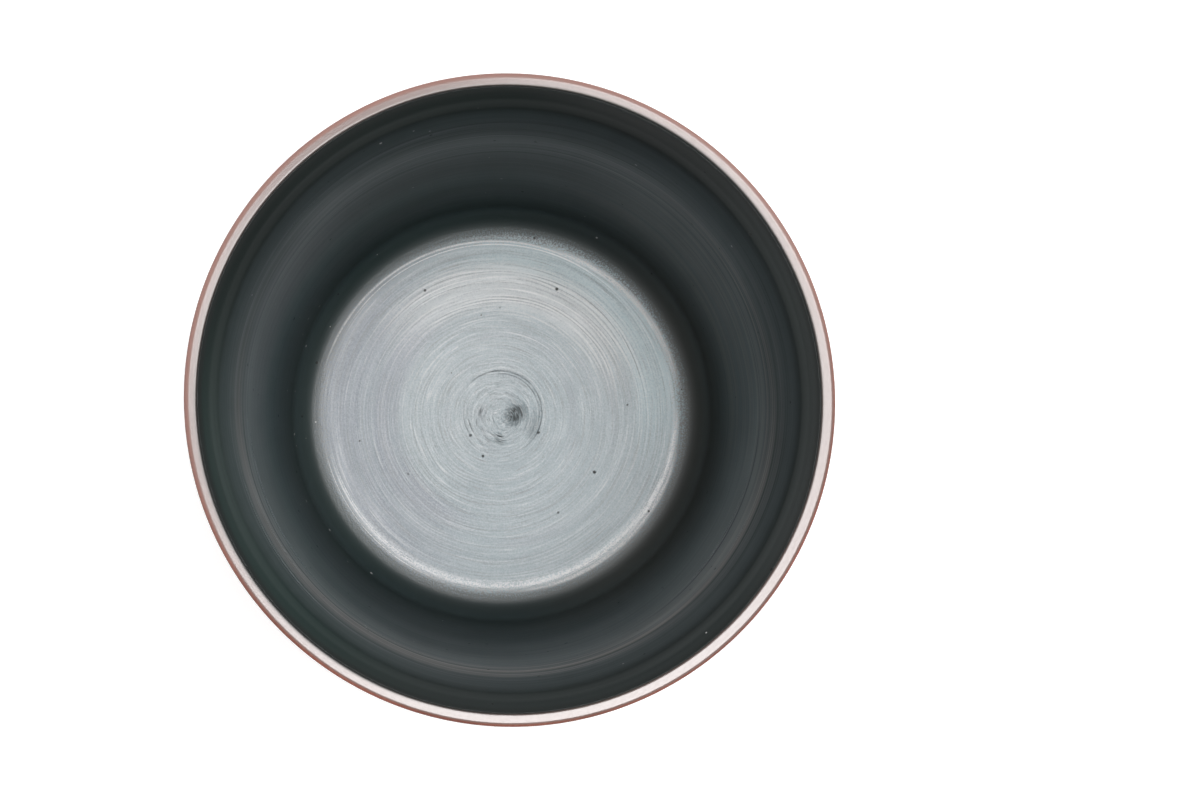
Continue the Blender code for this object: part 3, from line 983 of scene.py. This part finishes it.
class TEACUP_OT_foot(bpy.types.Operator):
    """Add the foot ring with its smoothed joint to the base"""

    bl_idname = "teacup.foot"
    bl_label = "Add Foot"

    def execute(self, context):
        weld = context.scene.teacup_clay.weld
        outside = SEAT_RADIUS - FOOT_SPLAY
        inside = outside - FOOT_TREAD
        joint = BASE_HEIGHT - weld
        seat = BASE_HEIGHT + SEAT_DEPTH
        outer_weld = arc(Vector((SEAT_RADIUS + weld, joint)), weld, math.pi / 2, math.pi, WELD_STEPS)
        outer_edge = arc(Vector((outside - FOOT_EDGE, FOOT_EDGE)), FOOT_EDGE, 0.0, -math.pi / 2, EDGE_STEPS)
        inner_edge = arc(
            Vector((inside + FOOT_EDGE, FOOT_EDGE)), FOOT_EDGE, -math.pi / 2, -math.pi, EDGE_STEPS)
        inner_weld = arc(Vector((inside - FOOT_SPLAY - weld, joint)), weld, 0.0, math.pi / 2, WELD_STEPS)
        outer_side = between(outer_weld[-1], outer_edge[0], FOOT_SIDE_STEPS)
        tread = between(outer_edge[-1], inner_edge[0], TREAD_STEPS)
        inner_side = between(inner_edge[-1], inner_weld[0], FOOT_SIDE_STEPS)
        top = [Vector((inner_weld[-1].x, seat)), Vector((outer_weld[0].x, seat))]
        outline = outer_weld + outer_side + outer_edge + tread + inner_edge + inner_side + inner_weld + top

        def relief(points, along, angles):
            """Trimming marks on the sides, leaving the tread flat."""
            height = points[:, 1]
            shown = np.clip((height - 0.0004) / 0.0012, 0, 1) * np.clip((joint - height) / 0.001, 0, 1)
            return TRIM_DEPTH * shown[:, None] * waves(along, angles, TRIM_PITCH, 33)

        data = turned("luted_foot", outline, relief, closed=True)
        add_piece("luted_foot", data, foot_material(), "foot_ring")
        return {"FINISHED"}


class TEACUP_OT_lining(bpy.types.Operator):
    """Add the dark slip lining with its rings and finger swirl"""

    bl_idname = "teacup.lining"
    bl_label = "Add Lining"

    def execute(self, context):
        look = context.scene.teacup_slip
        taper = look.feather / WALL_RISE

        def layer_at(t):
            """The lining's depth, thinning out under the lip."""
            return LINING * (1 - FEATHERED * float(eased(t, 1 - taper, 1.0)))

        radii = SWEEP_CENTRE.x * np.linspace(0.0, 1.0, FLOOR_STEPS) ** FLOOR_CROWDING
        floor = [Vector((radius, FLOOR_HEIGHT)) for radius in radii[:-1]]
        shown = floor + inside_outline(LINING, WALL_STEPS, SWEEP_STEPS, layer_at)
        hidden = inside_outline(SLIP_BACK, HIDDEN_STEPS, HIDDEN_ARC_STEPS)
        back = [*reversed(hidden), Vector((0.0, CLAY_FLOOR + SLIP_BACK))]

        def in_front(points):
            """1 on the face that shows, up to the feathered edge, and 0 behind it."""
            return (np.arange(len(points)) < len(shown) - EDGE_ROWS)[:, None]

        def swirl(x, y):
            """The finger's rings, uneven and off the axis, and the pit it left."""
            away = np.hypot(x - SWIRL_CENTRE[0], y - SWIRL_CENTRE[1])
            turn = np.arctan2(y - SWIRL_CENTRE[1], x - SWIRL_CENTRE[0])
            wander = 0.8 * np.sin(turn + 0.6) + 0.5 * np.sin(2 * turn + 2.0)
            count = away / SWIRL_PITCH
            fade = np.clip(count, 0, 1) * np.clip(1.6 * (1 - (away / SWIRL_RADIUS) ** 2), 0, 1)
            rings = np.sin(2 * np.pi * count + wander) + 0.6 * np.sin(11 * count - turn)
            pit = np.exp(-((x - PIT_CENTRE[0]) ** 2 + (y - PIT_CENTRE[1]) ** 2) / (2 * (PIT_RADIUS / 2) ** 2))
            return look.swirl_depth * fade * rings - look.pit_depth * pit

        def relief(points, along, angles):
            """Throwing rings and the swell on the face that shows, and the swirl on the floor."""
            radius, height = points[:, :1], points[:, 1:]
            on_wall = np.clip((height - FLOOR_HEIGHT) / 0.02, 0, 1)
            rings = look.ring_depth * (0.3 + 0.3 * on_wall) * waves(along, angles, INNER_PITCH, 5)
            swell = look.swell * np.exp(-(((height - SWELL_HEIGHT) / SWELL_REACH) ** 2) / 2)
            swell = swell * eased(height, LIP_HEIGHT, LIP_HEIGHT - FLARE_HEIGHT)
            swell = swell - look.hollow * np.exp(-(((height - HOLLOW_HEIGHT) / HOLLOW_REACH) ** 2) / 2)
            marks = swirl(radius * np.cos(angles), radius * np.sin(angles))
            marks = np.where(height < FLOOR_HEIGHT + 0.001, marks, 0.0)
            return in_front(points) * (rings + swell + marks)

        def slide(points, angles):
            """The push of the lip, and the shift and oval of the rounding from the floor into the wall."""
            share = eased(points[:, :1], *SHIFT_RADII) * eased(points[:, 1:], *SHIFT_HEIGHTS)
            share = share * in_front(points)
            aside_x, aside_y = lip_push(points, angles)
            aside_x = aside_x + share * (RUB_CENTRE[0] + RUB_OVAL * np.cos(angles))
            return aside_x, aside_y + share * (RUB_CENTRE[1] - RUB_OVAL * np.sin(angles))

        data = turned("slip_coat", shown + back, relief, slide=slide)
        add_piece("slip_coat", data, slip_material(), "slip_lining")
        return {"FINISHED"}


def add_light(name, place, target, size, brightness):
    """A rectangular light whose face has the given brightness, where white paper is 1."""
    lamp = bpy.data.lights.new(name, "AREA")
    lamp.shape = "RECTANGLE"
    lamp.size, lamp.size_y = size
    lamp.energy = brightness * math.pi * size[0] * size[1]
    holder = bpy.data.objects.new(name, lamp)
    holder.location = place
    holder.rotation_euler = (Vector(target) - Vector(place)).to_track_quat("-Z", "Y").to_euler()
    holder.visible_camera = False
    bpy.context.scene.collection.objects.link(holder)


def table_material(look):
    """A pale table that glows a little in the picture and in reflections, and still takes shadows."""
    settings = {"Roughness": 0.9, "Specular IOR Level": 0.2, "Emission Color": (1.0, 1.0, 1.0, 1.0)}
    material, n, shader = new_material("table_top", settings)
    shader["Base Color"].default_value = (*look.table_colour, 1.0)
    path = named(n.add("LightPath", {}))
    seen = n.calc("MAXIMUM", path["Is Camera Ray"], path["Is Glossy Ray"])
    n.put(shader["Emission Strength"], seen * look.table_lift)
    return material


class TEACUP_OT_stage(bpy.types.Operator):
    """Add the camera, the lights and the table"""

    bl_idname = "teacup.stage"
    bl_label = "Add Stage"

    def execute(self, context):
        look = context.scene.teacup_stage
        scene = context.scene
        scene.view_settings.view_transform = "Standard"

        lens = bpy.data.cameras.new("camera")
        focal = RIM_RADIUS_IN_PHOTO / RIM_RADIUS * look.camera_height
        lens.lens = lens.sensor_width * focal / PHOTO_WIDTH
        lens.clip_start = 0.01
        eye = Vector((*look.camera_aside, LIP_HEIGHT + look.camera_height))
        across = RIM_CENTRE_IN_PHOTO[0] - PHOTO_WIDTH / 2
        up = PHOTO_HEIGHT / 2 - RIM_CENTRE_IN_PHOTO[1]
        in_picture = Vector((across, up, -focal))
        camera = bpy.data.objects.new("camera", lens)
        camera.location = eye
        camera.rotation_euler = in_picture.rotation_difference(Vector((0, 0, LIP_HEIGHT)) - eye).to_euler()
        scene.collection.objects.link(camera)
        scene.camera = camera

        softbox = (look.softbox_size, look.softbox_size)
        add_light("softbox", look.softbox_place, (0, 0, 0), softbox, look.softbox_brightness)
        panels = (look.far_panels, look.far_panels, look.near_panels, look.near_panels)
        for turn, brightness in enumerate(panels):
            angle = math.radians(45 + 90 * turn)
            side = Vector((PANEL_REACH * math.cos(angle), PANEL_REACH * math.sin(angle), PANEL_HEIGHT))
            add_light(f"panel_{turn + 1}", side, PANEL_TARGET, PANEL_SIZE, brightness)

        world = bpy.data.worlds.new("room")
        world.use_nodes = True
        scene.world = world
        n = Nodes(world.node_tree)
        background = n.tree.nodes["Background"]
        background.inputs["Color"].default_value = (1.0, 1.0, 1.0, 1.0)
        seen = named(n.add("LightPath", {}))["Is Camera Ray"]
        n.put(background.inputs["Strength"], n.ranged(seen, 0.0, 1.0, look.fill, 1.0))

        mesh = bmesh.new()
        bmesh.ops.create_circle(mesh, cap_ends=True, segments=TABLE_STEPS, radius=TABLE_RADIUS)
        data = bpy.data.meshes.new("table_top")
        mesh.to_mesh(data)
        mesh.free()
        data.materials.append(table_material(look))
        table = bpy.data.objects.new("table_top", data)
        scene.collection.objects.link(table)
        return {"FINISHED"}


class TEACUP_PT_build(bpy.types.Panel):
    """Buttons and settings for the teacup"""

    bl_idname = "TEACUP_PT_build"
    bl_label = "Teacup"
    bl_space_type = "VIEW_3D"
    bl_region_type = "UI"
    bl_category = "Teacup"

    def draw(self, context):
        for step in STEPS:
            self.layout.operator(step.bl_idname)
        for settings in GROUPS:
            box = self.layout.box()
            holder = getattr(context.scene, settings)
            for name in holder.bl_rna.properties.keys():
                if name not in ("rna_type", "name"):
                    box.prop(holder, name)


GROUPS = {"teacup_clay": ClayLook, "teacup_slip": SlipLook, "teacup_stage": StageLook}
STEPS = (TEACUP_OT_body, TEACUP_OT_foot, TEACUP_OT_lining, TEACUP_OT_stage)


def register():
    for group in (*GROUPS.values(), *STEPS, TEACUP_PT_build):
        bpy.utils.register_class(group)
    for name, group in GROUPS.items():
        setattr(bpy.types.Scene, name, bpy.props.PointerProperty(type=group))


def unregister():
    for name in GROUPS:
        delattr(bpy.types.Scene, name)
    for group in reversed((*GROUPS.values(), *STEPS, TEACUP_PT_build)):
        bpy.utils.unregister_class(group)


def main():
    register()
    bpy.ops.teacup.body()
    bpy.ops.teacup.foot()
    bpy.ops.teacup.lining()
    bpy.ops.teacup.stage()


if __name__ == "__main__":
    main()
